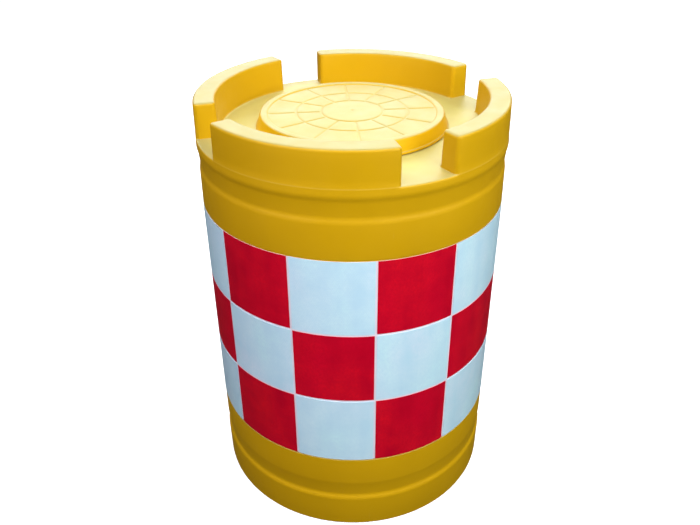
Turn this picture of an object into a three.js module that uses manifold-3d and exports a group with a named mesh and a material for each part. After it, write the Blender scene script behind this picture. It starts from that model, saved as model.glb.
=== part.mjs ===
// A traffic barrel: a moulded plastic drum that is filled with water or sand through a lidded neck
// and drained through a screw plug, with two sheets of red and silver reflective squares round its wall.
// Millimetres, +Z up. The origin is the centre of the floor face, the drain looks along +Y,
// and the four notches of the crown look along +X, +Y, -X and -Y.
import * as THREE from "three";
import { mergeVertices } from "three/addons/utils/BufferGeometryUtils.js";
import Module from "manifold-3d";

const wasm = await Module();
wasm.setup();

const DEG = Math.PI / 180;

// ---- the whole barrel ----
const HEIGHT = 820;
const WALL = 6;
const GAP = 0.3; // left between two pieces that touch

// ---- reflective squares ----
const SQUARE = 150; // pitch of the squares round the barrel
const COLUMNS = 12;
const ROWS = 3;
const ROW_HEIGHT = 148;
const FILM_BOTTOM = 183;
const FILM_TURN = -47.4 * DEG; // where the first column starts, from +X
const SHEET = 0.6;
const SHEETS = 2; // white sheets end to end round the barrel, each with half of the columns
const MARGIN = 2; // edge of the white sheet left between a square and its cell's edge
const SEAM = 2; // gap where two sheets' ends meet
const FILM_RADIUS = (SQUARE * COLUMNS) / (2 * Math.PI);

// ---- the body's wall ----
const BODY_RADIUS = FILM_RADIUS + 0.6;
const RECESS_RADIUS = FILM_RADIUS - SHEET - GAP; // the sheets lie in a shallow recess
const RECESS_MARGIN = 3;
const GROOVE_RADIUS = BODY_RADIUS - 3.5; // at the foot of a groove
const GROOVE_TOP_RADIUS = BODY_RADIUS - 1;
const FLANK = 4; // half the height of a groove's sloping side
const FLANK_EDGE = 3; // rounding of a groove's outer edges
const FOOT_RADIUS = BODY_RADIUS;
const FOOT_EDGE = 4; // rounding where the wall meets the floor
const FOOT_RING = 44; // width of the ring that the barrel stands on
const FLOOR_RECESS = 3;
const BASE_RADIUS = BODY_RADIUS + 1;
const BASE_TOP = 78; // the lower groove runs from here
const LOWER_GROOVE_TOP = 114;
const SHOULDER = 700; // the upper groove runs from here
const SHOULDER_RADIUS = BODY_RADIUS - 0.8;
const COLLAR_BOTTOM = 738;
const COLLAR_RADIUS = BODY_RADIUS + 1.3;

// ---- crown and deck ----
const DECK = 756;
const CROWN_FOOT_RADIUS = BODY_RADIUS + 0.2; // at the height of the deck
const CROWN_RADIUS = FILM_RADIUS - 0.5; // at the top
const CROWN_INNER_RADIUS = 247;
const CROWN_DRAFT = 2;
const NOTCHES = 4;
const NOTCH_ANGLE = 19.5 * DEG;
const EDGE = 4; // rounding of the crown's edges
const FINE_EDGE = 1; // rounding of small edges

// ---- filling neck and its lid ----
const NECK_BORE = 150;
const NECK_RADIUS = 162;
const NECK_TOP = 770;
const SEAL_HEIGHT = 5;
const SEAL_INSET = 1; // how far a seal stays inside the faces that it lies between
const LID_RADIUS = 169;
const LID_TOP = 783.5;
const LID_FIELD = LID_TOP - 2.5; // the face inside the lid's raised rim
const LID_RIM = 12;
const LID_WALL = 5;
const LID_UNDERSIDE = NECK_TOP + SEAL_HEIGHT + 2 * GAP;
const LID_LIP = LID_RADIUS + 9;
const LID_BOTTOM = DECK + 2;
const LID_EDGE = 3; // rounding of the lid's outer edge
const LID_STEP = 2; // how far the lid's small steps lean inwards
const LIP_HEIGHT = 3;
const RING_RADII = [57, 103];
const SPOKES = 12;
const SPOKE_TURN = 10 * DEG;
const LINE_WIDTH = 4;
const LINE_DEPTH = 1.6;

// ---- drain, along +Y from the floor of its pocket ----
const DRAIN_HEIGHT = 40;
const POCKET_FLOOR = 264;
const POCKET_RADIUS = 28;
const POCKET_DEPTH = 40; // past the wall's outer face
const BOSS_RADIUS = 26;
const BOSS_LENGTH = 24;
const BUSH_RADIUS = 20;
const BUSH_FLANGE_RADIUS = 24;
const BUSH_FLANGE = 2;
const STEM_RADIUS = 14;
const STEM_LENGTH = 25;
const WASHER = 2.5;
const PLUG_RADIUS = 22;
const PLUG_FLANGE = 4;
const GRIP_LENGTH = 38;
const GRIP_WIDTH = 11;
const GRIP_HEIGHT = 9.5;

// ---- facets ----
const SEGMENTS = 72; // round the barrel
const INSIDE_SEGMENTS = 36; // round its hollow
const LID_SEGMENTS = 48;
const SMALL_SEGMENTS = 24; // round the drain's pieces
const CORNER_STEPS = 2; // in a rounded corner
const NOTCH_STEPS = 4; // along a notch

const material = (color, roughness, metalness = 0) =>
  new THREE.MeshStandardMaterial({ color, roughness, metalness });

const YELLOW = material(0xeab308, 0.45);
const YELLOW_LID = material(0xf2c40d, 0.45);
const WHITE_SHEET = material(0xf0f0f4, 0.3);
const SILVER_FILM = material(0xb8d6e6, 0.3);
const RED_FILM = material(0xc00d26, 0.3);
const BLACK_RUBBER = material(0x1c1c1c, 0.85);
const BLACK_PLASTIC = material(0x26272a, 0.55);
const BRASS = material(0xb5963f, 0.35, 1);

// ---- solids ----

// A closed geometry as a manifold-3d solid.
function solid(geometry) {
  const bare = geometry.clone();
  bare.deleteAttribute("normal");
  bare.deleteAttribute("uv");
  const merged = mergeVertices(bare, 1e-3);
  return new wasm.Manifold(
    new wasm.Mesh({
      numProp: 3,
      vertProperties: new Float32Array(merged.attributes.position.array),
      triVerts: new Uint32Array(merged.index.array),
    }),
  );
}

// A manifold-3d solid as a geometry to draw.
function geometryOf(made) {
  const { vertProperties, triVerts } = made.getMesh();
  const geometry = new THREE.BufferGeometry();
  geometry.setAttribute("position", new THREE.BufferAttribute(vertProperties, 3));
  geometry.setIndex(new THREE.BufferAttribute(triVerts, 1));
  geometry.computeVertexNormals();
  return geometry;
}

// An outline through corners [x, y, cut], where cut is how far from the corner its rounding starts.
function outline(corners) {
  const path = new THREE.Path();
  corners.forEach(([x, y, cut], i) => {
    const corner = new THREE.Vector2(x, y);
    if (!cut) {
      if (i === 0) path.moveTo(x, y);
      else path.lineTo(x, y);
      return;
    }
    const before = new THREE.Vector2(...corners[i - 1]).sub(corner).setLength(cut).add(corner);
    const after = new THREE.Vector2(...corners[i + 1]).sub(corner).setLength(cut).add(corner);
    path.lineTo(before.x, before.y);
    path.quadraticCurveTo(x, y, after.x, after.y);
  });
  return path.getPoints(CORNER_STEPS);
}

// The solid of revolution about +Z of an outline [radius, height, cut] that runs up the outside.
function revolve(corners, segments = SEGMENTS) {
  return new THREE.LatheGeometry(outline(corners), segments).rotateX(Math.PI / 2);
}

// A closed tube about +Z with square edges.
function tube(inner, outer, bottom, top, segments) {
  const corners = [
    [inner, bottom],
    [outer, bottom],
    [outer, top],
    [inner, top],
    [inner, bottom],
  ];
  return revolve(corners, segments);
}

function cylinder(radius, bottom, top, segments = SMALL_SEGMENTS) {
  const corners = [
    [0, bottom],
    [radius, bottom],
    [radius, top],
    [0, top],
  ];
  return revolve(corners, segments);
}

// A piece of a tube's wall, from one angle to another, with square edges.
function sector(inner, outer, from, to, bottom, top, steps) {
  const shape = new THREE.Shape();
  shape.absarc(0, 0, outer, from, to, false);
  shape.absarc(0, 0, inner, to, from, true);
  shape.closePath();
  return new THREE.ExtrudeGeometry(shape, {
    depth: top - bottom,
    bevelEnabled: false,
    curveSegments: steps,
  }).translate(0, 0, bottom);
}

// ---- the body ----

// The outside, with a full ring for a crown and a solid plug for a neck.
function bodyOutside() {
  return revolve([
    [0, FLOOR_RECESS],
    [FOOT_RADIUS - FOOT_RING, FLOOR_RECESS],
    [FOOT_RADIUS - FOOT_RING + FLOOR_RECESS, 0],
    [FOOT_RADIUS, 0, FOOT_EDGE],
    [BASE_RADIUS, BASE_TOP - FLANK, FLANK_EDGE],
    [GROOVE_RADIUS, BASE_TOP + FLANK],
    [GROOVE_TOP_RADIUS, LOWER_GROOVE_TOP - FLANK],
    [BODY_RADIUS, LOWER_GROOVE_TOP + FLANK, FLANK_EDGE],
    [BODY_RADIUS, FILM_BOTTOM - RECESS_MARGIN],
    [RECESS_RADIUS, FILM_BOTTOM - RECESS_MARGIN],
    [RECESS_RADIUS, FILM_BOTTOM + ROWS * ROW_HEIGHT + RECESS_MARGIN],
    [BODY_RADIUS, FILM_BOTTOM + ROWS * ROW_HEIGHT + RECESS_MARGIN],
    [SHOULDER_RADIUS, SHOULDER - FLANK, FLANK_EDGE],
    [GROOVE_RADIUS, SHOULDER + FLANK],
    [GROOVE_TOP_RADIUS, COLLAR_BOTTOM - FLANK],
    [COLLAR_RADIUS, COLLAR_BOTTOM + FLANK, FLANK_EDGE],
    [CROWN_FOOT_RADIUS, DECK],
    [CROWN_RADIUS, HEIGHT, EDGE],
    [CROWN_INNER_RADIUS, HEIGHT, EDGE],
    [CROWN_INNER_RADIUS - CROWN_DRAFT, DECK],
    [NECK_RADIUS, DECK],
    [NECK_RADIUS, NECK_TOP],
    [0, NECK_TOP],
  ]);
}

// The hollow inside, which runs up into the crown.
function bodyInside() {
  const radius = RECESS_RADIUS - WALL;
  const ceiling = DECK - WALL;
  const corners = [
    [0, FLOOR_RECESS + WALL],
    [FOOT_RADIUS - WALL, FLOOR_RECESS + WALL, FOOT_EDGE + WALL / 2],
    [radius, BASE_TOP - 2 * WALL],
    [GROOVE_RADIUS - WALL, BASE_TOP - WALL],
    [GROOVE_RADIUS - WALL, LOWER_GROOVE_TOP + WALL],
    [radius, LOWER_GROOVE_TOP + 2 * WALL],
    [radius, SHOULDER - 3 * WALL],
    [GROOVE_RADIUS - WALL, SHOULDER - WALL],
    [GROOVE_RADIUS - WALL, COLLAR_BOTTOM + WALL],
    [CROWN_RADIUS - WALL, COLLAR_BOTTOM + 2 * WALL],
    [CROWN_RADIUS - WALL, HEIGHT - WALL],
    [CROWN_INNER_RADIUS + WALL, HEIGHT - WALL],
    [CROWN_INNER_RADIUS + WALL - CROWN_DRAFT, ceiling],
    [0, ceiling],
  ];
  return revolve(corners, INSIDE_SEGMENTS);
}

// The space of every notch, with its floor and its two ends moved outwards by a wall's thickness or 0.
function notches(wall) {
  const half = NOTCH_ANGLE / 2 + wall / CROWN_INNER_RADIUS;
  const middles = Array.from({ length: NOTCHES }, (_, i) => (i * 2 * Math.PI) / NOTCHES);
  return middles.map((middle) => {
    const inner = CROWN_INNER_RADIUS - 4 * WALL;
    const outer = COLLAR_RADIUS + WALL;
    const bottom = DECK - wall;
    return solid(sector(inner, outer, middle - half, middle + half, bottom, HEIGHT + WALL, NOTCH_STEPS));
  });
}

// From the drain's own frame, whose +Z leaves the barrel from the floor of the pocket.
const drainFrame = new THREE.Matrix4()
  .makeRotationX(-Math.PI / 2)
  .setPosition(0, POCKET_FLOOR, DRAIN_HEIGHT);
const drainSolid = (geometry) => solid(geometry.applyMatrix4(drainFrame));

function barrelBody() {
  const turned = (geometry) => solid(geometry.rotateZ(FILM_TURN));
  const outside = notches(0).reduce((made, notch) => made.subtract(notch), turned(bodyOutside()));
  const hollow = notches(WALL).reduce((made, block) => made.subtract(block), turned(bodyInside()));
  const pocketWall = drainSolid(cylinder(POCKET_RADIUS + WALL, -WALL, POCKET_DEPTH));
  const boss = drainSolid(cylinder(BOSS_RADIUS, -BOSS_LENGTH, 0));
  const pocket = drainSolid(cylinder(POCKET_RADIUS, 0, POCKET_DEPTH));
  const bushBore = drainSolid(cylinder(BUSH_RADIUS + GAP, -BOSS_LENGTH - WALL, WALL));
  const neckBore = turned(cylinder(NECK_BORE, DECK - 2 * WALL, NECK_TOP + WALL, SEGMENTS));
  return outside
    .subtract(hollow.subtract(pocketWall).subtract(boss))
    .subtract(pocket)
    .subtract(bushBore)
    .subtract(neckBore);
}

// ---- the lid and its seal ----

// The lid without its spokes: rim, rings in the field, flared skirt, lip and a ring that fits the neck.
function lidBlank() {
  const line = LINE_WIDTH / 2;
  const ringLine = (radius) => [
    [radius + line, LID_FIELD],
    [radius, LID_FIELD - LINE_DEPTH],
    [radius - line, LID_FIELD],
  ];
  const guide = NECK_RADIUS + 2 * GAP;
  const corners = [
    [0, LID_UNDERSIDE],
    [guide, LID_UNDERSIDE],
    [guide, NECK_TOP - LID_WALL],
    [guide + LID_WALL / 2, NECK_TOP - LID_WALL],
    [guide + LID_WALL / 2, LID_UNDERSIDE - 1],
    [LID_LIP - LID_WALL, LID_BOTTOM],
    [LID_LIP, LID_BOTTOM],
    [LID_LIP, LID_BOTTOM + LIP_HEIGHT, FINE_EDGE],
    [LID_LIP - LIP_HEIGHT, LID_BOTTOM + LIP_HEIGHT + LID_STEP],
    [LID_RADIUS, LID_TOP, LID_EDGE],
    [LID_RADIUS - LID_RIM, LID_TOP, LID_STEP],
    [LID_RADIUS - LID_RIM - LID_STEP, LID_FIELD],
    ...ringLine(RING_RADII[1]),
    ...ringLine(RING_RADII[0]),
    [0, LID_FIELD],
  ];
  return revolve(corners, LID_SEGMENTS);
}

// The spoke lines run from the inner ring to the rim, and are as deep as the rings.
function spokeLines() {
  const inner = RING_RADII[0];
  const outer = LID_RADIUS - LID_RIM - LID_STEP;
  return Array.from({ length: SPOKES }, (_, i) => {
    const line = new THREE.BoxGeometry(outer - inner, LINE_WIDTH, 2 * LINE_DEPTH);
    line.translate((inner + outer) / 2, 0, LID_FIELD);
    return solid(line.rotateZ(SPOKE_TURN + (i * 2 * Math.PI) / SPOKES));
  });
}

function fillLid() {
  return spokeLines().reduce((made, line) => made.subtract(line), solid(lidBlank()));
}

function lidSeal() {
  const bottom = NECK_TOP + GAP;
  const top = bottom + SEAL_HEIGHT;
  return tube(NECK_BORE + SEAL_INSET, NECK_RADIUS - SEAL_INSET, bottom, top, LID_SEGMENTS);
}

// ---- the drain, in its own frame ----

const FLANGE_TOP = GAP + BUSH_FLANGE;
const WASHER_TOP = FLANGE_TOP + GAP + WASHER;
const PLUG_SEAT = WASHER_TOP + GAP;

function drainBush() {
  const bore = STEM_RADIUS + GAP;
  const corners = [
    [bore, -BOSS_LENGTH],
    [BUSH_RADIUS, -BOSS_LENGTH],
    [BUSH_RADIUS, GAP],
    [BUSH_FLANGE_RADIUS, GAP],
    [BUSH_FLANGE_RADIUS, FLANGE_TOP],
    [bore, FLANGE_TOP],
    [bore, -BOSS_LENGTH],
  ];
  return revolve(corners, SMALL_SEGMENTS);
}

function drainWasher() {
  const bottom = FLANGE_TOP + GAP;
  return tube(STEM_RADIUS + GAP, PLUG_RADIUS - SEAL_INSET, bottom, WASHER_TOP, SMALL_SEGMENTS);
}

function drainPlug() {
  const turned = revolve(
    [
      [0, PLUG_SEAT - STEM_LENGTH],
      [STEM_RADIUS, PLUG_SEAT - STEM_LENGTH, FINE_EDGE],
      [STEM_RADIUS, PLUG_SEAT],
      [PLUG_RADIUS, PLUG_SEAT],
      [PLUG_RADIUS, PLUG_SEAT + PLUG_FLANGE, FINE_EDGE],
      [0, PLUG_SEAT + PLUG_FLANGE],
    ],
    SMALL_SEGMENTS,
  );
  const grip = new THREE.BoxGeometry(GRIP_LENGTH, GRIP_WIDTH, GRIP_HEIGHT + PLUG_FLANGE);
  grip.translate(0, 0, PLUG_SEAT + (GRIP_HEIGHT + PLUG_FLANGE) / 2);
  return solid(turned).add(solid(grip));
}

// ---- the reflective film ----

const COLUMN_ANGLE = (2 * Math.PI) / COLUMNS;
const COLUMN_STEPS = SEGMENTS / COLUMNS;
const SHEET_COLUMNS = COLUMNS / SHEETS;

function filmSheet(sheet) {
  const outer = FILM_RADIUS;
  const halfSeam = SEAM / 2 / outer;
  const start = FILM_TURN + sheet * SHEET_COLUMNS * COLUMN_ANGLE;
  const from = start + halfSeam;
  const to = start + SHEET_COLUMNS * COLUMN_ANGLE - halfSeam;
  const top = FILM_BOTTOM + ROWS * ROW_HEIGHT;
  return sector(outer - SHEET, outer, from, to, FILM_BOTTOM, top, SHEET_COLUMNS * COLUMN_STEPS);
}

// The squares of the outer rows run to the edge of the sheet.
function filmSquare(column, row) {
  const inner = FILM_RADIUS + GAP;
  const margin = MARGIN / FILM_RADIUS;
  const from = FILM_TURN + column * COLUMN_ANGLE + margin;
  const to = from + COLUMN_ANGLE - 2 * margin;
  const bottom = FILM_BOTTOM + row * ROW_HEIGHT + (row === 0 ? 0 : MARGIN);
  const top = FILM_BOTTOM + (row + 1) * ROW_HEIGHT - (row === ROWS - 1 ? 0 : MARGIN);
  return sector(inner, inner + SHEET, from, to, bottom, top, COLUMN_STEPS);
}

// ---- assembly ----

function piece(name, shape, finish) {
  const geometry = shape.isBufferGeometry ? shape : geometryOf(shape);
  const mesh = new THREE.Mesh(geometry, finish);
  mesh.name = name;
  return mesh;
}

function drain() {
  const group = new THREE.Group();
  group.applyMatrix4(drainFrame);
  group.add(piece("drain_bush", drainBush(), BRASS));
  group.add(piece("drain_washer", drainWasher(), BLACK_RUBBER));
  group.add(piece("drain_plug", drainPlug(), BLACK_PLASTIC));
  return group;
}

function lid() {
  const group = new THREE.Group();
  group.add(piece("fill_lid", fillLid(), YELLOW_LID));
  group.add(piece("lid_seal", lidSeal(), BLACK_RUBBER));
  return group;
}

// Red and silver squares take turns, like the squares of a chessboard, on each sheet. The second
// sheet is laid the other way up, so at both seams two squares of one colour lie side by side.
function film() {
  const group = new THREE.Group();
  for (let sheet = 0; sheet < SHEETS; sheet += 1) {
    group.add(piece(`reflective_sheet_${sheet + 1}`, filmSheet(sheet), WHITE_SHEET));
  }
  const kinds = [
    { name: "silver_square", finish: SILVER_FILM, count: 0 },
    { name: "red_square", finish: RED_FILM, count: 0 },
  ];
  for (let row = 0; row < ROWS; row += 1) {
    for (let column = 0; column < COLUMNS; column += 1) {
      const sheet = Math.floor(column / SHEET_COLUMNS);
      const kind = kinds[(row + column + sheet) % 2];
      kind.count += 1;
      const name = `${kind.name}_${String(kind.count).padStart(2, "0")}`;
      group.add(piece(name, filmSquare(column, row), kind.finish));
    }
  }
  return group;
}

const barrel = new THREE.Group();
barrel.add(piece("barrel_body", barrelBody(), YELLOW));
barrel.add(lid());
barrel.add(drain());
barrel.add(film());

export default barrel;
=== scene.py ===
import math

import bmesh
import bpy
import numpy as np
from mathutils import Matrix, Vector


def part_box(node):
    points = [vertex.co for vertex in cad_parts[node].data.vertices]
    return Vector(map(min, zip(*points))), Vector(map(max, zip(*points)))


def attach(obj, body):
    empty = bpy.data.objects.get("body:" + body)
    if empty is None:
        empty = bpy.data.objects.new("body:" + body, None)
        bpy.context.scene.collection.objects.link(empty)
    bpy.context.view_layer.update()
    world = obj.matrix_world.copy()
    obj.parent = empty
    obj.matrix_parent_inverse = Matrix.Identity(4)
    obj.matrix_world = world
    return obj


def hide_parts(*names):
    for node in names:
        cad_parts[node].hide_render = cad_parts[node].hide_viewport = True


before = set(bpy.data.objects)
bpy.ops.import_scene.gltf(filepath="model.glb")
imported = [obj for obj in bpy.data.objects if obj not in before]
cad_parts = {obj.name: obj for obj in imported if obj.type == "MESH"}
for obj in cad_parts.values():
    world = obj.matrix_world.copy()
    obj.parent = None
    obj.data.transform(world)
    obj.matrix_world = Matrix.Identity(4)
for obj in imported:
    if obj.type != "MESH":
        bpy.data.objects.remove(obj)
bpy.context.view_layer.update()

# ---- sizes that the frame gives ----
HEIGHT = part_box("barrel_body")[1].z
FILM_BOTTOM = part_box("reflective_sheet_1")[0].z
FILM_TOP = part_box("reflective_sheet_1")[1].z
LID_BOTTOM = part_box("fill_lid")[0].z
LID_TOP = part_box("fill_lid")[1].z
LID_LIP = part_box("fill_lid")[1].x
SEAL_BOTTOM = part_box("lid_seal")[0].z
SEAL_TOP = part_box("lid_seal")[1].z
DRAIN_HEIGHT = (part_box("drain_plug")[0].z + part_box("drain_plug")[1].z) / 2
BUSH_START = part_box("drain_bush")[0].y
BUSH_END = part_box("drain_bush")[1].y
WASHER_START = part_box("drain_washer")[0].y
WASHER_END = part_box("drain_washer")[1].y
PLUG_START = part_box("drain_plug")[0].y
PLUG_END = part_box("drain_plug")[1].y

# ---- film ----
COLUMNS = 12
ROWS = 3
SQUARE = 0.150
FILM_RADIUS = COLUMNS * SQUARE / (2 * math.pi)
FILM_TURN = math.radians(-47.4)
SHEET = 0.0006
STACK_GAP = 0.0003
SQUARE_MARGIN = 0.002
SEAM = 0.002
SHEETS = 2
SHEET_COLUMNS = COLUMNS // SHEETS
RIPPLE = 0.00005
RIPPLE_ANGLE_STEP = math.radians(1.25)
RIPPLE_HEIGHT_STEP = 0.012
CELL_PITCH = 0.004

# ---- body ----
WALL = 0.006
BODY_RADIUS = FILM_RADIUS + 0.0006
RECESS_RADIUS = FILM_RADIUS - SHEET - STACK_GAP
RECESS_MARGIN = 0.003
RECESS_EDGE = 0.0006
GROOVE_RADIUS = BODY_RADIUS - 0.0035
GROOVE_TOP_RADIUS = BODY_RADIUS - 0.001
FLANK = 0.004
FLANK_EDGE = 0.004
FOOT_RADIUS = BODY_RADIUS
FOOT_EDGE = 0.004
FOOT_RING = 0.044
FLOOR_RECESS = 0.003
BASE_RADIUS = BODY_RADIUS + 0.001
BASE_TOP = 0.078
LOWER_GROOVE_TOP = 0.114
SHOULDER = 0.700
SHOULDER_RADIUS = BODY_RADIUS - 0.0008
COLLAR_BOTTOM = 0.738
COLLAR_RADIUS = BODY_RADIUS + 0.0013
DECK = 0.756
CROWN_FOOT_RADIUS = BODY_RADIUS + 0.0002
CROWN_RADIUS = FILM_RADIUS - 0.0005
CROWN_INNER = 0.247
CROWN_DRAFT = 0.002
CROWN_EDGE = 0.005
BLOCK_END_EDGE = 0.008
CROWN_FILLET = 0.005
NOTCH_FLOOR_EDGE = 0.003
NOTCHES = 4
HALF_NOTCH = math.radians(19.5) / 2
NOTCH_COLUMNS = 15
BLOCK_COLUMNS = 46
BLOCK_END_COLUMNS = 9

# ---- neck, lid and seal ----
NECK_BORE = 0.150
NECK_RADIUS = 0.162
NECK_TOP = SEAL_BOTTOM - STACK_GAP
LID_RADIUS = LID_LIP - 0.009
LID_RIM = 0.012
LID_RIM_SLOPE = 0.0025
LID_FIELD = LID_TOP - LID_RIM_SLOPE
LID_DOME = 0.0008
GATE_RADIUS = 0.004
GATE_DEPTH = 0.0012
LID_WALL = 0.005
LID_UNDERSIDE = SEAL_TOP + STACK_GAP
LID_GUIDE = NECK_RADIUS + 2 * STACK_GAP
LINE_RINGS = (0.057, 0.103)
SPOKES = 12
SPOKE_TURN = math.radians(10)
LINE_REACH = 0.0035
LINE_DEPTH = 0.0014

# ---- drain ----
POCKET_FLOOR = 0.264
POCKET_RADIUS = 0.028
HOUSING_END = 0.2835
BOSS_RADIUS = 0.026
BUSH_RADIUS = 0.020
BUSH_FLANGE_RADIUS = 0.024
STEM_RADIUS = 0.014
THREAD_PITCH = 0.006
THREAD_DEPTH = 0.0014
THREAD_PLAY = 0.0004
THREAD_COLUMNS = 64
THREAD_ROWS = 14
PLUG_RADIUS = 0.022
PLUG_FLANGE = 0.004
GRIP_LENGTH = 0.038
GRIP_WIDTH = 0.011

# ---- camera: where it stands, from the barrel's axis and the floor ----
CAMERA_AZIMUTH = math.radians(-25.3)
CAMERA_DISTANCE = 1.2918
CAMERA_HEIGHT = 1.2322
CAMERA_TILT = math.radians(31.06)
CAMERA_YAW = math.radians(0.255)
CAMERA_ROLL = math.radians(-0.38)
CAMERA_LENS = 37.38

# ---- studio: the world's light above and below the horizon, the floor and the wall behind it ----
SKY_LIGHT = 0.44
GROUND_LIGHT = 0.02
HALF_FLOOR = 40.0
FLOOR_GLOW = 0.65
FAR_WALL = 0.9 * HALF_FLOOR

# ---- colours that materials share, and the angle from which an edge shows as sharp ----
WHITE = (1.0, 1.0, 1.0, 1.0)
# painted sheen: the pale tint that surfaces facing up take, standing in for the sky's reflection on them
PAINTED_TOP_SHEEN = (0.37, 0.50, 0.27, 1.0)
# painted light: the pale yellow that brightens the deck inside the crown
PAINTED_DECK_LIGHT = (0.80, 0.75, 0.22, 1.0)
SHARP_EDGE = math.radians(35)


# ======== mesh making ========

def rounded(corners, steps=6):
    """Points of an outline through corners (x, y, cut); cut is how far from it the rounding starts."""
    points = []
    for i, (x, y, cut) in enumerate(corners):
        corner = np.array((x, y))
        if not cut:
            points.append(corner)
            continue
        back = np.array(corners[i - 1][:2]) - corner
        ahead = np.array(corners[i + 1][:2]) - corner
        back *= cut / np.linalg.norm(back)
        ahead *= cut / np.linalg.norm(ahead)
        for turn in np.linspace(0, math.pi / 2, steps + 1):
            points.append(corner + back * (1 - math.sin(turn)) + ahead * (1 - math.cos(turn)))
    return np.array(points)


def mesh_object(name, vertices, faces):
    """An object of one mesh, with doubled points merged and faces turned outwards."""
    mesh = bpy.data.meshes.new(name)
    mesh.from_pydata([tuple(v) for v in vertices], [], faces)
    work = bmesh.new()
    work.from_mesh(mesh)
    bmesh.ops.remove_doubles(work, verts=work.verts, dist=1e-6)
    bmesh.ops.dissolve_degenerate(work, edges=work.edges, dist=1e-7)
    bmesh.ops.recalc_face_normals(work, faces=work.faces)
    work.to_mesh(mesh)
    work.free()
    made = bpy.data.objects.new(name, mesh)
    bpy.context.scene.collection.objects.link(made)
    return made


def shade(piece):
    """Smooth shading that keeps the sharp edges."""
    mesh = piece.data
    mesh.polygons.foreach_set("use_smooth", [True] * len(mesh.polygons))
    mesh.set_sharp_from_angle(angle=SHARP_EDGE)
    mesh.update()


def grid_faces(rows, columns, wrap_rows=False):
    """Quads of a grid whose last column meets its first, and whose last row may meet its first."""
    last = rows if wrap_rows else rows - 1
    faces = []
    for row in range(last):
        above = (row + 1) % rows
        for column in range(columns):
            beside = (column + 1) % columns
            faces.append((
                row * columns + column,
                row * columns + beside,
                above * columns + beside,
                above * columns + column,
            ))
    return faces


def loft(name, angles, sections, closed=False):
    """A surface round +Z. angles is one per column or one per row and column; sections[column] is that
    column's outline of (radius, height) points. A closed outline ends where it starts."""
    outlines = np.array(sections).transpose(1, 0, 2)
    rows, columns = outlines.shape[:2]
    turns = np.broadcast_to(angles, (rows, columns))
    radius, height = outlines[..., 0], outlines[..., 1]
    points = np.stack([radius * np.cos(turns), radius * np.sin(turns), height], axis=-1)
    return mesh_object(name, points.reshape(-1, 3), grid_faces(rows, columns, closed))


def revolve(name, corners, columns=96, steps=6):
    """A solid of revolution about +Z. Its outline starts and ends on the axis, or ends where it starts."""
    outline = rounded(corners, steps)
    angles = np.linspace(0, 2 * math.pi, columns, endpoint=False)
    return loft(name, angles, [outline] * columns)


def boolean(target, tool, operation):
    """Joins tool to target or cuts it away, and removes the tool."""
    modifier = target.modifiers.new(operation.lower(), "BOOLEAN")
    modifier.operation = operation
    modifier.object = tool
    modifier.solver = "EXACT"
    graph = bpy.context.evaluated_depsgraph_get()
    target.data = bpy.data.meshes.new_from_object(target.evaluated_get(graph))
    target.modifiers.clear()
    bpy.data.objects.remove(tool)


def along_drain(piece):
    """Turns a piece made about +Z on to the drain's axis: its heights become distances along +Y from the
    barrel's axis."""
    tip_over = Matrix.Rotation(-math.pi / 2, 4, "X")
    piece.data.transform(Matrix.Translation((0, 0, DRAIN_HEIGHT)) @ tip_over)
    return piece


# ======== the body ========

def wall_outline():
    """The outside from the middle of the floor up to the collar."""
    return rounded([
        (0, FLOOR_RECESS, 0),
        (FOOT_RADIUS - FOOT_RING, FLOOR_RECESS, 0.002),
        (FOOT_RADIUS - FOOT_RING + FLOOR_RECESS, 0, 0.0015),
        (FOOT_RADIUS, 0, FOOT_EDGE),
        (BASE_RADIUS, BASE_TOP - FLANK, FLANK_EDGE),
        (GROOVE_RADIUS, BASE_TOP + FLANK, FLANK_EDGE),
        (GROOVE_TOP_RADIUS, LOWER_GROOVE_TOP - FLANK, FLANK_EDGE),
        (BODY_RADIUS, LOWER_GROOVE_TOP + FLANK, FLANK_EDGE),
        (BODY_RADIUS, FILM_BOTTOM - RECESS_MARGIN, RECESS_EDGE),
        (RECESS_RADIUS, FILM_BOTTOM - RECESS_MARGIN, RECESS_EDGE),
        (RECESS_RADIUS, FILM_TOP + RECESS_MARGIN, RECESS_EDGE),
        (BODY_RADIUS, FILM_TOP + RECESS_MARGIN, RECESS_EDGE),
        (SHOULDER_RADIUS, SHOULDER - FLANK, FLANK_EDGE),
        (GROOVE_RADIUS, SHOULDER + FLANK, FLANK_EDGE),
        (GROOVE_TOP_RADIUS, COLLAR_BOTTOM - FLANK, FLANK_EDGE),
        (COLLAR_RADIUS, COLLAR_BOTTOM + FLANK, FLANK_EDGE),
        (collar_radius(DECK - 2 * NOTCH_FLOOR_EDGE), DECK - 2 * NOTCH_FLOOR_EDGE, 0),
    ])


def collar_radius(height):
    """Outer radius above the collar's lower edge: it narrows to the deck, and a little more to the top."""
    heights = (COLLAR_BOTTOM + FLANK, DECK, HEIGHT)
    return float(np.interp(height, heights, (COLLAR_RADIUS, CROWN_FOOT_RADIUS, CROWN_RADIUS)))


def quarter(start, end, steps, upright_first):
    """Quarter of an ellipse from start to end, leaving upright or level."""
    turns = np.linspace(0, math.pi / 2, steps + 1)[:, None]
    first, second = 1 - np.cos(turns), np.sin(turns)
    shares = np.hstack([first, second] if upright_first else [second, first])
    return np.array(start) + (np.array(end) - np.array(start)) * shares


def straight(start, end, steps):
    """Points after start, up to end."""
    shares = np.linspace(0, 1, steps + 1)[1:, None]
    return np.array(start) + (np.array(end) - np.array(start)) * shares


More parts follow.
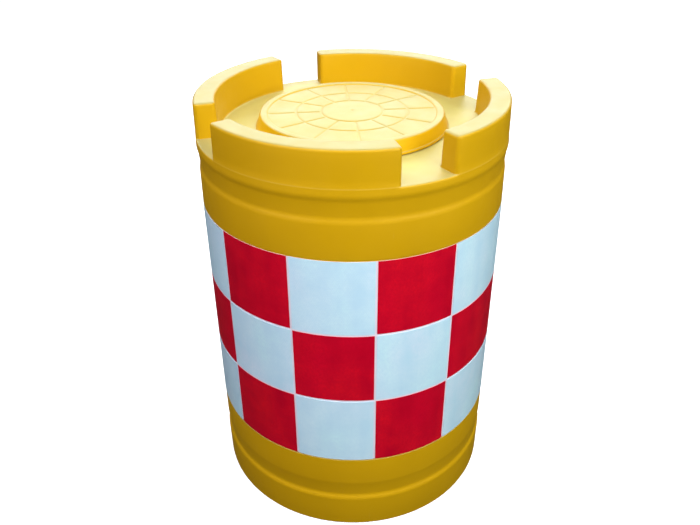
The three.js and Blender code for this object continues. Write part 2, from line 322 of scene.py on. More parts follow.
def block_outline(share):
    """Over the crown where a block stands. share runs from 0 on the block's end face to 1 where the
    rounding of its end is over, so that every edge of the block is rounded."""
    lift = CROWN_EDGE * share
    top = HEIGHT - CROWN_EDGE + lift
    drawn_in = BLOCK_END_EDGE * (1 - share)
    outer_foot = collar_radius(DECK) - drawn_in
    outer_top = collar_radius(HEIGHT) - drawn_in
    inner_foot = CROWN_INNER - CROWN_DRAFT + drawn_in
    inner_top = CROWN_INNER + drawn_in
    fillet = CROWN_FILLET * share
    floor_start = (collar_radius(DECK - NOTCH_FLOOR_EDGE), DECK - NOTCH_FLOOR_EDGE)
    floor_edge = (collar_radius(DECK) - min(NOTCH_FLOOR_EDGE, drawn_in), DECK)
    return np.vstack([
        quarter(floor_start, floor_edge, 3, True),
        straight(floor_edge, (outer_foot, DECK), 2),
        straight((outer_foot, DECK), (outer_top, top - lift), 4),
        quarter((outer_top, top - lift), (outer_top - lift, top), 5, True)[1:],
        straight((outer_top - lift, top), (inner_top + lift, top), 5),
        quarter((inner_top + lift, top), (inner_top, top - lift), 5, False)[1:],
        straight((inner_top, top - lift), (inner_foot, DECK + fillet), 4),
        quarter((inner_foot, DECK + fillet), (inner_foot - fillet, DECK), 6, True)[1:],
        straight((inner_foot - fillet, DECK), (CROWN_INNER - CROWN_DRAFT - CROWN_FILLET, DECK), 2),
    ])


def notch_outline():
    """Over the crown in a notch: as on a block's end face, with the raised points laid on the deck."""
    points = block_outline(0)
    raised = np.flatnonzero(points[:, 1] > DECK + 1e-6)
    before, after = raised[0] - 1, raised[-1] + 1
    points[raised, 1] = DECK
    points[before:after + 1, 0] = np.linspace(points[before, 0], points[after, 0], after - before + 1)
    return points


def neck_outline():
    """From the deck over the neck, down its bore and out along the ceiling of the hollow."""
    return rounded([
        (CROWN_INNER - CROWN_DRAFT - 2 * CROWN_FILLET, DECK, 0),
        (NECK_RADIUS, DECK, 0.0015),
        (NECK_RADIUS, NECK_TOP, 0.002),
        (NECK_BORE, NECK_TOP, 0.002),
        (NECK_BORE, DECK - WALL, 0.002),
        (CROWN_INNER + WALL - CROWN_DRAFT, DECK - WALL, 0),
    ])


def hollow_outline(roof):
    """The hollow's inside from under the crown's roof to the middle of its floor."""
    radius = RECESS_RADIUS - WALL
    narrow = GROOVE_RADIUS - WALL
    return rounded([
        (CROWN_INNER + WALL, roof, 0),
        (CROWN_RADIUS - WALL, roof, 0),
        (CROWN_RADIUS - WALL, COLLAR_BOTTOM + 2 * WALL, 0),
        (narrow, COLLAR_BOTTOM + WALL, 0.002),
        (narrow, SHOULDER - WALL, 0.002),
        (radius, SHOULDER - 3 * WALL, 0.002),
        (radius, LOWER_GROOVE_TOP + 2 * WALL, 0.002),
        (narrow, LOWER_GROOVE_TOP + WALL, 0.002),
        (narrow, BASE_TOP - WALL, 0.002),
        (FOOT_RADIUS - WALL, FLOOR_RECESS + WALL, FOOT_EDGE + WALL / 2),
        (0, FLOOR_RECESS + WALL, 0),
    ], steps=3)


def crown_stations():
    """(angle, outline over the crown, roof of the hollow) of every column of the body's surface."""
    quarter_turn = 2 * math.pi / NOTCHES
    ceiling, roof = DECK - WALL, HEIGHT - WALL
    block_radius = (CROWN_RADIUS + CROWN_INNER) / 2
    rounding = [
        (BLOCK_END_EDGE * (1 - math.cos(turn)) / block_radius, math.sin(turn))
        for turn in np.linspace(0, math.pi / 2, BLOCK_END_COLUMNS)
    ]
    hollow_end = HALF_NOTCH + (BLOCK_END_EDGE + WALL) / block_radius
    stations = []
    for notch in range(NOTCHES):
        middle = notch * quarter_turn
        for angle in np.linspace(-HALF_NOTCH, HALF_NOTCH, NOTCH_COLUMNS):
            stations.append((middle + angle, notch_outline(), ceiling))
        for shift, share in rounding:
            stations.append((middle + HALF_NOTCH + shift, block_outline(share), ceiling))
        full = block_outline(1)
        for angle in np.linspace(hollow_end, quarter_turn - hollow_end, BLOCK_COLUMNS):
            stations.append((middle + angle, full, roof))
        for shift, share in reversed(rounding):
            stations.append((middle + quarter_turn - HALF_NOTCH - shift, block_outline(share), ceiling))
    return stations


def drain_housing():
    """The thick part of the wall round the drain: a cup for the pocket and a boss for the bush."""
    cup_back = POCKET_FLOOR - WALL
    cup_radius = POCKET_RADIUS + WALL
    return along_drain(revolve("housing", [
        (0, BUSH_START, 0),
        (BOSS_RADIUS, BUSH_START, 0.002),
        (BOSS_RADIUS, cup_back, 0.002),
        (cup_radius, cup_back, 0.002),
        (cup_radius, HOUSING_END, 0),
        (0, HOUSING_END, 0),
    ]))


def drain_cut():
    """What the drain needs cut out of the wall: the bush's bore, and the pocket with its flared mouth."""
    mouth = BODY_RADIUS + 0.012
    flare = 0.006
    bore = BUSH_RADIUS + STACK_GAP
    return along_drain(revolve("cut", [
        (0, BUSH_START - WALL, 0),
        (bore, BUSH_START - WALL, 0),
        (bore, POCKET_FLOOR, 0.0005),
        (POCKET_RADIUS, POCKET_FLOOR, 0.002),
        (POCKET_RADIUS, BODY_RADIUS - flare, flare / 2),
        (POCKET_RADIUS + flare, BODY_RADIUS + 0.0015, 0),
        (POCKET_RADIUS + flare, mouth, 0),
        (0, mouth, 0),
    ]))


def body():
    below, neck = wall_outline(), neck_outline()
    stations = crown_stations()
    sections = [np.vstack([below, crown, neck, hollow_outline(roof)]) for _, crown, roof in stations]
    made = loft("moulded_body", [angle for angle, _, _ in stations], sections)
    boolean(made, drain_housing(), "UNION")
    boolean(made, drain_cut(), "DIFFERENCE")
    shade(made)
    return made


# ======== lid and seal ========

def valley(distance):
    """Depth of a moulded line, from 1 on its middle to 0 at its reach."""
    inside = np.clip(np.abs(distance) / LINE_REACH, 0, 1)
    return np.cos(inside * math.pi / 2) ** 2


def lid_columns():
    """(spoke's angle, offset across the spoke, further angle) of every column of the lid."""
    sector = 2 * math.pi / SPOKES
    columns = []
    for spoke in range(SPOKES):
        angle = SPOKE_TURN + spoke * sector
        columns += [(angle, offset, 0.0) for offset in np.linspace(-LINE_REACH, LINE_REACH, 9)]
        columns += [(angle, LINE_REACH, share) for share in np.linspace(0, 1, 8)[1:-1]]
    return columns


def lid_radii():
    """Radii of the rows of the lid's top face, close together across the ring lines."""
    field = LID_RADIUS - LID_RIM - LID_RIM_SLOPE
    across = np.linspace(-LINE_REACH, LINE_REACH, 9)
    inner, outer = LINE_RINGS
    rows = [
        np.linspace(field, outer + LINE_REACH, 14)[:-1],
        (outer + across)[::-1],
        np.linspace(outer - LINE_REACH, inner + LINE_REACH, 12)[1:-1],
        (inner + across)[::-1],
        np.linspace(inner - LINE_REACH, 1.5 * GATE_RADIUS, 12)[1:],
        (GATE_RADIUS, GATE_RADIUS / 2, 0),
    ]
    return np.concatenate(rows)


def lid_skin():
    """The lid's underside, skirt and rim, from the underside's middle to the edge of the top face."""
    lip_top = LID_BOTTOM + 0.003
    return rounded([
        (0, LID_UNDERSIDE, 0),
        (LID_GUIDE, LID_UNDERSIDE, 0.0005),
        (LID_GUIDE, NECK_TOP - LID_WALL, 0.0008),
        (LID_GUIDE + LID_WALL / 2, NECK_TOP - LID_WALL, 0.0008),
        (LID_GUIDE + LID_WALL / 2, LID_UNDERSIDE - 0.001, 0.0005),
        (LID_LIP - LID_WALL, LID_BOTTOM, 0.001),
        (LID_LIP, LID_BOTTOM, 0.001),
        (LID_LIP, lip_top, 0.0015),
        (LID_LIP - 0.003, lip_top + 0.002, 0.0015),
        (LID_RADIUS, LID_TOP, 0.003),
        (LID_RADIUS - LID_RIM, LID_TOP, 0.002),
        (LID_RADIUS - LID_RIM - LID_RIM_SLOPE, LID_FIELD, 0),
    ])


def lid():
    skin, radii = lid_skin(), lid_radii()
    columns = lid_columns()
    sector = 2 * math.pi / SPOKES
    inner, outer = LINE_RINGS
    spoke_end = LID_RADIUS - LID_RIM
    all_radii = np.concatenate([skin[:, 0], radii[1:]])
    spread = np.clip(all_radii, inner, spoke_end)
    angles, sections = [], []
    rings = np.maximum(valley(radii - inner), valley(radii - outer))
    along_spoke = np.clip((radii - inner) / LINE_REACH, 0, 1)
    dome = LID_DOME * np.clip(1 - radii / inner, 0, 1) ** 0.5
    gate_mark = GATE_DEPTH * np.clip(1 - radii / GATE_RADIUS, 0, 1)
    for angle, offset, share in columns:
        edge = np.arcsin(offset / spread)
        angles.append(angle + edge + share * (sector - 2 * edge))
        spokes = valley(offset) * along_spoke if share == 0 else np.zeros_like(radii)
        height = LID_FIELD + dome - gate_mark - LINE_DEPTH * np.maximum(rings, spokes)
        sections.append(np.vstack([skin, np.stack([radii, height], axis=-1)[1:]]))
    made = loft("push_on_lid", np.array(angles).T, sections)
    shade(made)
    return made


def seal():
    middle = (NECK_BORE + NECK_RADIUS) / 2
    half = (NECK_RADIUS - NECK_BORE) / 2 - 0.001
    made = revolve("neck_gasket", [
        (middle, SEAL_BOTTOM, 0),
        (middle + half, SEAL_BOTTOM, 0.001),
        (middle + half, SEAL_TOP, 0.001),
        (middle, SEAL_TOP, 0),
        (middle - half, SEAL_TOP, 0.001),
        (middle - half, SEAL_BOTTOM, 0.001),
        (middle, SEAL_BOTTOM, 0),
    ], columns=144, steps=3)
    shade(made)
    return made


# ======== drain ========

def thread_radius(root, depth, height, angle):
    """Radius of a right-hand screw thread with flattened crests."""
    phase = (height / THREAD_PITCH - angle / (2 * math.pi)) % 1
    wave = 0.5 - 0.5 * math.cos(2 * math.pi * phase)
    return root + depth * min(1.0, 1.3 * wave)


def threaded(name, below, above, root, depth, start, end, closed=False):
    """A surface round the drain's axis: the outline below, a thread from start to end, and the outline
    above. THREAD_ROWS of its points make one turn of the thread."""
    angles = np.linspace(0, 2 * math.pi, THREAD_COLUMNS, endpoint=False)
    heights = np.linspace(start, end, 1 + round(abs(end - start) / THREAD_PITCH * THREAD_ROWS))
    sections = []
    for angle in angles:
        thread = [(thread_radius(root, depth, height, angle), height) for height in heights]
        sections.append(np.vstack([below, thread, above]))
    return along_drain(loft(name, angles, sections, closed))


def bush():
    bore = STEM_RADIUS + STACK_GAP
    root = bore - THREAD_DEPTH + THREAD_PLAY
    flange_bottom = POCKET_FLOOR + STACK_GAP
    outside = rounded([
        (bore, BUSH_START, 0),
        (BUSH_RADIUS, BUSH_START, 0.0008),
        (BUSH_RADIUS, flange_bottom, 0.0003),
        (BUSH_FLANGE_RADIUS, flange_bottom, 0.0003),
        (BUSH_FLANGE_RADIUS, BUSH_END, 0.0006),
        (bore, BUSH_END, 0),
    ])
    nothing = np.empty((0, 2))
    start, end = BUSH_END - 0.0005, BUSH_START + 0.0005
    made = threaded("threaded_bush", outside, nothing, root, THREAD_DEPTH, start, end, closed=True)
    shade(made)
    return made


def washer():
    inner, outer = STEM_RADIUS + STACK_GAP, PLUG_RADIUS - 0.001
    middle = (WASHER_START + WASHER_END) / 2
    made = along_drain(revolve("sealing_washer", [
        (outer, middle, 0),
        (outer, WASHER_END, 0.0006),
        (inner, WASHER_END, 0.0006),
        (inner, WASHER_START, 0.0006),
        (outer, WASHER_START, 0.0006),
        (outer, middle, 0),
    ], columns=64, steps=3))
    shade(made)
    return made


def grip():
    """The bar that fingers turn: a long rounded block, waisted in the middle. The powers below 1 square
    its ends and sides."""
    half_length, half_width = GRIP_LENGTH / 2, GRIP_WIDTH / 2
    bottom, top = WASHER_END + STACK_GAP + PLUG_FLANGE / 2, PLUG_END
    rim = 0.002
    end_power, side_power = 0.45, 0.8
    waist_depth = 0.22
    turns = np.linspace(0, 2 * math.pi, 64, endpoint=False)
    outlines = []
    for inset, height in ((0, bottom), (0, top - rim), (rim * 0.3, top - rim * 0.3), (rim, top)):
        for turn in turns:
            across = math.copysign(abs(math.cos(turn)) ** end_power, math.cos(turn))
            along = math.copysign(abs(math.sin(turn)) ** side_power, math.sin(turn))
            waist = 1 - waist_depth * (1 - across * across)
            outlines.append((
                across * (half_length - inset),
                along * (half_width - inset) * waist,
                height,
            ))
    count = len(turns)
    faces = grid_faces(4, count)
    faces.append(tuple(range(count))[::-1])
    faces.append(tuple(range(3 * count, 4 * count)))
    return along_drain(mesh_object("grip", outlines, faces))


def plug():
    seat = WASHER_END + STACK_GAP
    root = STEM_RADIUS - THREAD_DEPTH
    tip = rounded([
        (0, PLUG_START, 0),
        (root, PLUG_START, 0.0015),
        (root, PLUG_START + 0.002, 0),
    ])
    head = rounded([
        (root, seat - 0.002, 0),
        (root, seat, 0.0005),
        (PLUG_RADIUS, seat, 0.0006),
        (PLUG_RADIUS, seat + PLUG_FLANGE, 0.0012),
        (GRIP_WIDTH, seat + PLUG_FLANGE, 0.002),
        (GRIP_WIDTH - 0.002, seat + PLUG_FLANGE + 0.004, 0.002),
        (0, seat + PLUG_FLANGE + 0.004, 0),
    ])
    made = threaded("drain_screw", tip, head, root, THREAD_DEPTH, PLUG_START + 0.0025, seat - 0.0025)
    boolean(made, grip(), "UNION")
    shade(made)
    return made


# ======== film ========

def film_plate(name, inner, start, end, bottom, top, wave):
    """A sheet of film on the barrel's wall, with its slight ripples and square-cut edges."""
    across = round((end - start) / RIPPLE_ANGLE_STEP)
    up = round((top - bottom) / RIPPLE_HEIGHT_STEP)
    angles, heights = np.meshgrid(np.linspace(start, end, across + 1), np.linspace(bottom, top, up + 1))
    share = (angles - start) / (end - start)
    fade = np.clip(np.minimum(share, 1 - share) * 12, 0, 1)
    broad = np.sin(angles * 61 + wave) * np.sin(heights * 17 + 2 * wave)
    narrow = np.sin(angles * 133 + 3 * wave)
    lift = RIPPLE * fade * (broad + narrow + 2)
    points = []
    for radius in (np.full_like(angles, inner), inner + SHEET + lift):
        points.append(np.stack([radius * np.cos(angles), radius * np.sin(angles), heights], axis=-1))
    return mesh_object(name, np.concatenate(points).reshape(-1, 3), plate_faces(up + 1, across + 1))


def plate_faces(rows, columns):
    """Faces of two open grids, one behind the other, closed along their edges."""
    behind = rows * columns
    faces = []
    for row in range(rows - 1):
        for column in range(columns - 1):
            corner = row * columns + column
            quad = (corner, corner + 1, corner + columns + 1, corner + columns)
            faces.append(quad)
            faces.append(tuple(behind + i for i in quad))
    rim = list(range(columns))
    rim += [row * columns + columns - 1 for row in range(1, rows)]
    rim += [(rows - 1) * columns + column for column in range(columns - 2, -1, -1)]
    rim += [row * columns for row in range(rows - 2, 0, -1)]
    for this, following in zip(rim, rim[1:] + rim[:1]):
        faces.append((this, following, behind + following, behind + this))
    return faces


def film_sheet(sheet):
    half_seam = SEAM / 2 / FILM_RADIUS
    span = 2 * math.pi / SHEETS
    start = FILM_TURN + sheet * span
    made = film_plate(
        f"film_sheet_{sheet + 1}", FILM_RADIUS - SHEET, start + half_seam, start + span - half_seam,
        FILM_BOTTOM, FILM_TOP, sheet,
    )
    shade(made)
    return made


def film_square(name, row, column):
    """One square, a margin inside its cell; the outer rows run to the edge of the sheet."""
    column_angle = 2 * math.pi / COLUMNS
    row_height = (FILM_TOP - FILM_BOTTOM) / ROWS
    margin = SQUARE_MARGIN / FILM_RADIUS
    start = FILM_TURN + column * column_angle + margin
    bottom = FILM_BOTTOM + row * row_height + (0 if row == 0 else SQUARE_MARGIN)
    top = FILM_BOTTOM + (row + 1) * row_height - (0 if row == ROWS - 1 else SQUARE_MARGIN)
    end = start + column_angle - 2 * margin
    made = film_plate(name, FILM_RADIUS + STACK_GAP, start, end, bottom, top, row * 5 + column)
    shade(made)
    return made


# ======== materials ========

class Nodes:
    """A new material's node tree, with its output shader."""

    def __init__(self, name):
        self.material = bpy.data.materials.new(name)
        self.material.use_nodes = True
        self.tree = self.material.node_tree
        self.shader = self.tree.nodes["Principled BSDF"]

    def add(self, kind, operation=None, **inputs):
        """A node of a kind. inputs name its sockets, by name or as a _ and a number, and give each one a
        value or a socket to link."""
        node = self.tree.nodes.new(kind)
        if operation:
            node.operation = operation
        for key, value in inputs.items():
            socket = int(key[1:]) if key.startswith("_") else key.replace("_", " ")
            self.give(node.inputs[socket], value)
        return node

    def give(self, socket, value):
        if isinstance(value, bpy.types.NodeSocket):
            self.tree.links.new(value, socket)
        else:
            socket.default_value = value

    def math(self, operation, *values):
        made = self.add("ShaderNodeMath", operation, **{f"_{i}": v for i, v in enumerate(values)})
        return made.outputs[0]

    def vector(self, operation, *values, output=0):
        made = self.add("ShaderNodeVectorMath", operation, **{f"_{i}": v for i, v in enumerate(values)})
        return made.outputs[output]

    def place(self):
        return self.add("ShaderNodeTexCoord").outputs["Object"]

    def noise(self, where, scale, detail=3.0, roughness=0.5):
        made = self.add(
            "ShaderNodeTexNoise", Vector=where, Scale=scale, Detail=detail, Roughness=roughness)
        return made.outputs[0]

    def range(self, value, from_low, from_high, to_low, to_high):
        made = self.add("ShaderNodeMapRange", _0=value, _1=from_low, _2=from_high, _3=to_low, _4=to_high)
        return made.outputs[0]

    def mix(self, share, first, second):
        made = self.tree.nodes.new("ShaderNodeMix")
        made.data_type = "RGBA"
        self.give(made.inputs[0], share)
        self.give(made.inputs[6], first)
        self.give(made.inputs[7], second)
        return made.outputs[2]

    def bump(self, height, strength, distance, normal=None):
        made = self.add("ShaderNodeBump", Strength=strength, Distance=distance, Height=height)
        if normal:
            self.give(made.inputs["Normal"], normal)
        return made.outputs[0]

    def set(self, **values):
        for key, value in values.items():
            self.give(self.shader.inputs[key.replace("_", " ")], value)
        return self.material


def painted_deck_light_share(nodes, where):
    """How much painted light brightens the deck at a place: none off the deck or under the lid, and ever
    less out towards the notches."""
    height = nodes.add("ShaderNodeSeparateXYZ", _0=where).outputs[2]
    radius = nodes.vector("LENGTH", nodes.vector("MULTIPLY", where, (1.0, 1.0, 0.0)), output=1)
    on_deck = nodes.math("COMPARE", height, DECK, 0.001)
    beside_lid = nodes.range(radius, LID_LIP - 0.005, LID_LIP, 0.0, 1.0)
    inward_share = nodes.range(radius, CROWN_INNER - 0.030, CROWN_INNER + 0.030, 0.85, 0.1)
    return nodes.math("MULTIPLY", on_deck, nodes.math("MULTIPLY", beside_lid, inward_share))


def moulded_plastic(name, colour, shadow_colour, roughness):
    """Rotationally moulded polyethylene: orange-peel skin, faint clouds in the pigment, light scuffs, a
    painted pale sheen on what faces up, and painted light that brightens the deck inside the crown."""
    nodes = Nodes(name)
    where = nodes.place()
    clouds = nodes.noise(where, 7.0, 4.0)
    cloud_share = nodes.range(clouds, 0.35, 0.7, 0.0, 0.55)
    pigment = nodes.mix(cloud_share, colour, shadow_colour)
    stretched = nodes.vector("MULTIPLY", where, (60.0, 60.0, 9.0))
    scuffs = nodes.range(nodes.noise(stretched, 1.0, 6.0, 0.7), 0.66, 0.78, 0.0, 0.16)
    pale = tuple(min(1.0, c * 0.75 + 0.2) for c in colour[:3]) + (1.0,)
    scuffed = nodes.mix(scuffs, pigment, pale)
    normal = nodes.add("ShaderNodeNewGeometry").outputs["Normal"]
    up = nodes.add("ShaderNodeSeparateXYZ", _0=normal).outputs[2]
    patchy = nodes.range(nodes.noise(where, 16.0, 4.0), 0.3, 0.7, 0.7, 1.0)
    # painted sheen: what faces up is paled towards the painted top sheen, in patches
    painted_sheen_share = nodes.math("MULTIPLY", nodes.range(up, 0.6, 0.97, 0.0, 0.6), patchy)
    with_painted_sheen = nodes.mix(painted_sheen_share, scuffed, PAINTED_TOP_SHEEN)
    # painted light: the deck inside the crown is brightened towards a pale yellow, in patches
    dust_and_painted_light = nodes.math("MULTIPLY", painted_deck_light_share(nodes, where), patchy)
    with_painted_deck_light = nodes.mix(dust_and_painted_light, with_painted_sheen, PAINTED_DECK_LIGHT)
    rough = nodes.range(nodes.noise(where, 34.0, 5.0, 0.6), 0.3, 0.7, roughness - 0.05, roughness + 0.08)
    waves = nodes.bump(nodes.noise(where, 11.0, 2.0), 0.25, 0.004)
    peel = nodes.bump(nodes.noise(where, 420.0, 3.0), 0.12, 0.0006, waves)
    return nodes.set(
        Base_Color=with_painted_deck_light, Roughness=rough, Normal=peel, IOR=1.5, Specular_Tint=(1.0, 0.88, 0.4, 1.0),
    )


def hexagons(nodes, across, pitch):
    """Distances from the middles of a honeycomb's cells, which are two sets of rows: the smaller one
    counts. across is (arc, height, 0) in metres."""
    root = math.sqrt(3)
    cell, half = (1.0, root, 1.0), (0.5, root / 2, 0.5)
    scaled = nodes.vector("MULTIPLY", across, (1 / pitch, 1 / pitch, 0.0))
    first = nodes.vector("SUBTRACT", nodes.vector("WRAP", scaled, cell, (0.0, 0.0, 0.0)), half)
    moved = nodes.vector("SUBTRACT", scaled, half)
    second = nodes.vector("SUBTRACT", nodes.vector("WRAP", moved, cell, (0.0, 0.0, 0.0)), half)
    return [hexagon_edge(nodes, part) for part in (first, second)]


def hexagon_edge(nodes, offset):
    """Distance of a point from its cell's middle, measured so that a hexagon's edge is at 0.5."""
    flat = nodes.vector("MULTIPLY", nodes.vector("ABSOLUTE", offset), (1.0, 1.0, 0.0))
    slanted = nodes.vector("DOT_PRODUCT", flat, (0.5, math.sqrt(3) / 2, 0.0), output=1)
    level = nodes.vector("DOT_PRODUCT", flat, (1.0, 0.0, 0.0), output=1)
    return nodes.math("MAXIMUM", slanted, level)


def reflective_film(name, colour, deep_colour, painted_sheen_colour):
    """Retroreflective film: a glossy face over small cells, with a faint painted sheen in broad patches
    and soft darker streaks of painted sheen.
    """
    nodes = Nodes(name)
    tint = tuple(0.3 + 0.7 * c / max(colour[:3]) for c in colour[:3]) + (1.0,)
    where = nodes.place()
    parts = nodes.add("ShaderNodeSeparateXYZ", _0=where)
    turn = nodes.math("ARCTAN2", parts.outputs[1], parts.outputs[0])
    arc = nodes.math("MULTIPLY", turn, FILM_RADIUS)
    across = nodes.add("ShaderNodeCombineXYZ", _0=arc, _1=parts.outputs[2], _2=0.0).outputs[0]
    # painted sheen: soft vertical streaks, in clouds, darken the film towards its deep colour
    streaks = nodes.noise(nodes.vector("MULTIPLY", across, (26.0, 3.0, 0.0)), 1.0, 3.0)
    clouds = nodes.noise(across, 24.0, 3.0)
    share = nodes.math("MULTIPLY", streaks, clouds)
    # painted sheen: broad patches drift towards the painted sheen colour
    drift = nodes.noise(nodes.vector("MULTIPLY", across, (9.0, 5.0, 0.0)), 1.0, 2.0)
    base = nodes.mix(nodes.range(drift, 0.35, 0.65, 0.0, 1.0), colour, painted_sheen_colour)
    tone = nodes.mix(nodes.range(share, 0.12, 0.4, 0.0, 1.0), base, deep_colour)
    first, second = hexagons(nodes, across, CELL_PITCH)
    edge = nodes.math("MINIMUM", first, second)
    ridge = nodes.range(edge, 0.40, 0.5, 0.0, 1.0)
    ridge_colour = tuple(c * 0.86 for c in colour[:3]) + (1.0,)
    fine = nodes.noise(nodes.vector("MULTIPLY", across, (230.0, 150.0, 0.0)), 1.0, 2.0)
    mottled = nodes.mix(nodes.range(fine, 0.35, 0.7, 0.0, 0.5), tone, deep_colour)
    lined = nodes.mix(nodes.math("MULTIPLY", ridge, 0.55), mottled, ridge_colour)
    relief = nodes.bump(ridge, 0.25, 0.0003)
    creases = nodes.bump(streaks, 0.15, 0.002, relief)
    return nodes.set(
        Base_Color=lined, Normal=creases, Roughness=0.34, IOR=1.5, Specular_Tint=tint,
    )


def rubber(name):
    nodes = Nodes(name)
    where = nodes.place()
    dust_and_painted_light = nodes.range(nodes.noise(where, 60.0, 5.0, 0.6), 0.5, 0.75, 0.0, 0.35)
    colour = nodes.mix(dust_and_painted_light, (0.018, 0.018, 0.019, 1.0), (0.09, 0.085, 0.08, 1.0))
    grain = nodes.bump(nodes.noise(where, 900.0, 4.0), 0.3, 0.0003)
    return nodes.set(Base_Color=colour, Normal=grain, Roughness=0.8, Specular_IOR_Level=0.3)


def black_plastic(name):
    nodes = Nodes(name)
    where = nodes.place()
    worn = nodes.range(nodes.noise(where, 90.0, 6.0, 0.65), 0.55, 0.75, 0.0, 0.4)
    colour = nodes.mix(worn, (0.022, 0.023, 0.025, 1.0), (0.075, 0.075, 0.078, 1.0))
    rough = nodes.range(nodes.noise(where, 150.0, 3.0), 0.3, 0.7, 0.38, 0.55)
    grain = nodes.bump(nodes.noise(where, 1200.0, 3.0), 0.2, 0.0003)
    return nodes.set(Base_Color=colour, Normal=grain, Roughness=rough, Specular_IOR_Level=0.5)


def brass(name):
    nodes = Nodes(name)
    where = nodes.place()
    tarnish = nodes.range(nodes.noise(where, 70.0, 5.0, 0.6), 0.45, 0.7, 0.0, 0.7)
    colour = nodes.mix(tarnish, (0.72, 0.5, 0.2, 1.0), (0.36, 0.24, 0.1, 1.0))
    rough = nodes.range(tarnish, 0.0, 0.7, 0.28, 0.55)
    turned = nodes.vector("MULTIPLY", where, (1.0, 900.0, 1.0))
    grooves = nodes.bump(nodes.noise(turned, 1.0, 1.0), 0.2, 0.0002)
    return nodes.set(Base_Color=colour, Normal=grooves, Roughness=rough, Metallic=1.0)


# ======== studio ========

def paint(piece, material):
    piece.data.materials.clear()
    piece.data.materials.append(material)


def fit(piece, body_name, node, material):
    """Puts a finished piece on its body, in place of its CAD node."""
    paint(piece, material)
    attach(piece, body_name)
    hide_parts(node)


def floor():
    """A pale floor, and a round white wall far behind it for views from low down."""
    half = HALF_FLOOR
    corners = [(-half, -half, 0), (half, -half, 0), (half, half, 0), (-half, half, 0)]
    mesh = bpy.data.meshes.new("floor")
    mesh.from_pydata(corners, [], [(0, 1, 2, 3)])
    made = bpy.data.objects.new("floor", mesh)
    bpy.context.scene.collection.objects.link(made)
    nodes = Nodes("pale_floor")
    shade_share = nodes.range(nodes.noise(nodes.place(), 1.5, 2.0), 0.3, 0.7, 0.0, 1.0)
    colour = nodes.mix(shade_share, (0.86, 0.86, 0.86, 1.0), (0.89, 0.89, 0.89, 1.0))
    paint(made, nodes.set(
        Base_Color=colour, Roughness=0.9, Specular_IOR_Level=0.1,
        Emission_Color=WHITE, Emission_Strength=FLOOR_GLOW,
    ))
    made.visible_diffuse = False
    made.visible_glossy = False
    angles = np.linspace(0, 2 * math.pi, 64, endpoint=False)
    wall = loft("far_wall", angles, [((FAR_WALL, 0.0), (FAR_WALL, half))] * len(angles))
    paint(wall, Nodes("white_wall").set(Emission_Color=WHITE, Emission_Strength=1.0))
    wall.visible_diffuse = False
    wall.visible_glossy = False
    wall.visible_shadow = False


def area_light(name, azimuth, elevation, distance, size, power, colour=(1.0, 1.0, 1.0)):
    """A soft light on the barrel's top; azimuth and elevation in degrees, counted as the camera's are."""
    turn, rise = math.radians(azimuth), math.radians(elevation)
    aim = Vector((0, 0, HEIGHT))
    away = Vector((math.sin(turn) * math.cos(rise), -math.cos(turn) * math.cos(rise), math.sin(rise)))
    data = bpy.data.lights.new(name, "AREA")
    data.shape = "RECTANGLE"
    data.size, data.size_y = size
    data.energy = power
    data.color = colour
    light = bpy.data.objects.new(name, data)
    light.location = aim + away * distance
    light.rotation_mode = "QUATERNION"
    light.rotation_quaternion = away.to_track_quat("Z", "Y")
    light.visible_camera = False
    bpy.context.scene.collection.objects.link(light)


def sky():
    """A pale sky over a dark ground, to light the barrel. The floor and the far wall hide its horizon."""
    world = bpy.data.worlds.new("studio")
    world.use_nodes = True
    tree = world.node_tree
    background = tree.nodes["Background"]
    background.inputs["Color"].default_value = WHITE
    place = tree.nodes.new("ShaderNodeTexCoord")
    parts = tree.nodes.new("ShaderNodeSeparateXYZ")
    ramp = tree.nodes.new("ShaderNodeMapRange")
    tree.links.new(place.outputs["Generated"], parts.inputs[0])
    tree.links.new(parts.outputs[2], ramp.inputs["Value"])
    for number, value in enumerate((-0.1, 0.25, GROUND_LIGHT, SKY_LIGHT), start=1):
        ramp.inputs[number].default_value = value
    tree.links.new(ramp.outputs[0], background.inputs["Strength"])
    bpy.context.scene.world = world


def lights():
    sky()
    camera = math.degrees(CAMERA_AZIMUTH)
    area_light("back", camera + 180, 28, 2.8, (3.4, 2.1), 74)
    area_light("front_right", camera + 45, 25, 2.2, (1.6, 1.6), 38, (1.0, 0.99, 1.05))
    area_light("front_left", camera - 45, 25, 2.2, (1.6, 1.6), 23, (1.0, 0.88, 1.08))
    area_light("front", camera + 5, 55, 2.2, (1.2, 1.2), 18, (1.0, 0.98, 1.05))


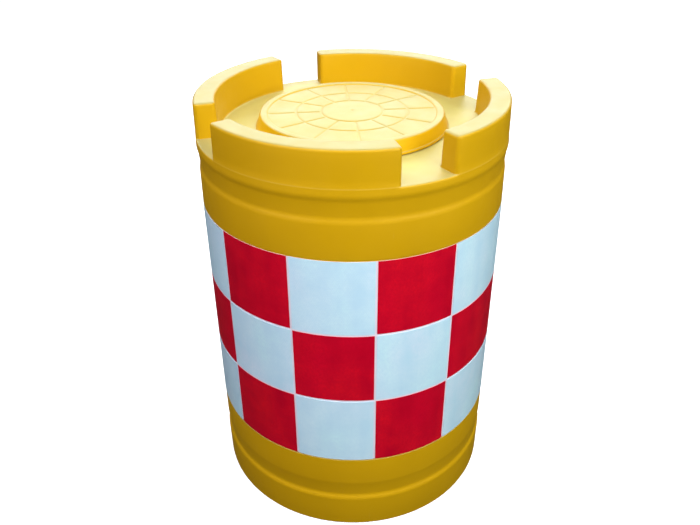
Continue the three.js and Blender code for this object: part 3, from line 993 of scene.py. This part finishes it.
def camera():
    data = bpy.data.cameras.new("camera")
    data.lens = CAMERA_LENS
    data.sensor_width = 36.0
    made = bpy.data.objects.new("camera", data)
    place = Matrix.Translation((
        CAMERA_DISTANCE * math.sin(CAMERA_AZIMUTH),
        -CAMERA_DISTANCE * math.cos(CAMERA_AZIMUTH),
        CAMERA_HEIGHT,
    ))
    heading = Matrix.Rotation(CAMERA_AZIMUTH + CAMERA_YAW, 4, "Z")
    tilt = Matrix.Rotation(math.pi / 2 - CAMERA_TILT, 4, "X")
    roll = Matrix.Rotation(CAMERA_ROLL, 4, "Z")
    made.matrix_world = place @ heading @ tilt @ roll
    bpy.context.scene.collection.objects.link(made)
    bpy.context.scene.camera = made


# ======== assembly ========

def fit_film(sheet_white, film_silver, film_red):
    """Both sheets and their squares; the second sheet is the other way up, so its squares start anew."""
    for sheet in range(SHEETS):
        fit(film_sheet(sheet), "barrel", f"reflective_sheet_{sheet + 1}", sheet_white)
    kinds = (("silver", film_silver, "film_silver"), ("red", film_red, "film_red"))
    counts = [0, 0]
    for row in range(ROWS):
        for column in range(COLUMNS):
            which = (row + column + column // SHEET_COLUMNS) % 2
            counts[which] += 1
            word, material, slot = kinds[which]
            number = f"{counts[which]:02d}"
            square = film_square(f"film_{word}_{number}", row, column)
            fit(square, "barrel", f"{word}_square_{number}", material)


def main():
    camera()
    lights()
    floor()
    yellow = moulded_plastic("yellow_shell", (0.63, 0.37, 0.003, 1.0), (0.57, 0.33, 0.002, 1.0), 0.42)
    lid_yellow = moulded_plastic("yellow_lid", (0.77, 0.46, 0.004, 1.0), (0.70, 0.41, 0.003, 1.0), 0.40)
    black_rubber = rubber("black_rubber")
    fit(body(), "barrel", "barrel_body", yellow)
    fit(lid(), "lid", "fill_lid", lid_yellow)
    fit(seal(), "lid", "lid_seal", black_rubber)
    fit(bush(), "barrel", "drain_bush", brass("brass"))
    fit(washer(), "drain_washer", "drain_washer", black_rubber)
    fit(plug(), "drain_plug", "drain_plug", black_plastic("black_plastic"))
    fit_film(
        reflective_film(
            "white_sheet", (0.92, 0.88, 0.94, 1.0), (0.86, 0.82, 0.90, 1.0), (0.88, 0.92, 0.94, 1.0)),
        reflective_film(
            "silver_film", (0.64, 0.97, 1.0, 1.0), (0.55, 0.84, 0.95, 1.0), (0.74, 0.90, 1.0, 1.0)),
        reflective_film(
            "red_film", (0.66, 0.002, 0.024, 1.0), (0.52, 0.001, 0.018, 1.0), (0.80, 0.008, 0.020, 1.0)),
    )
    scene = bpy.context.scene
    scene.view_settings.view_transform = "Standard"


main()
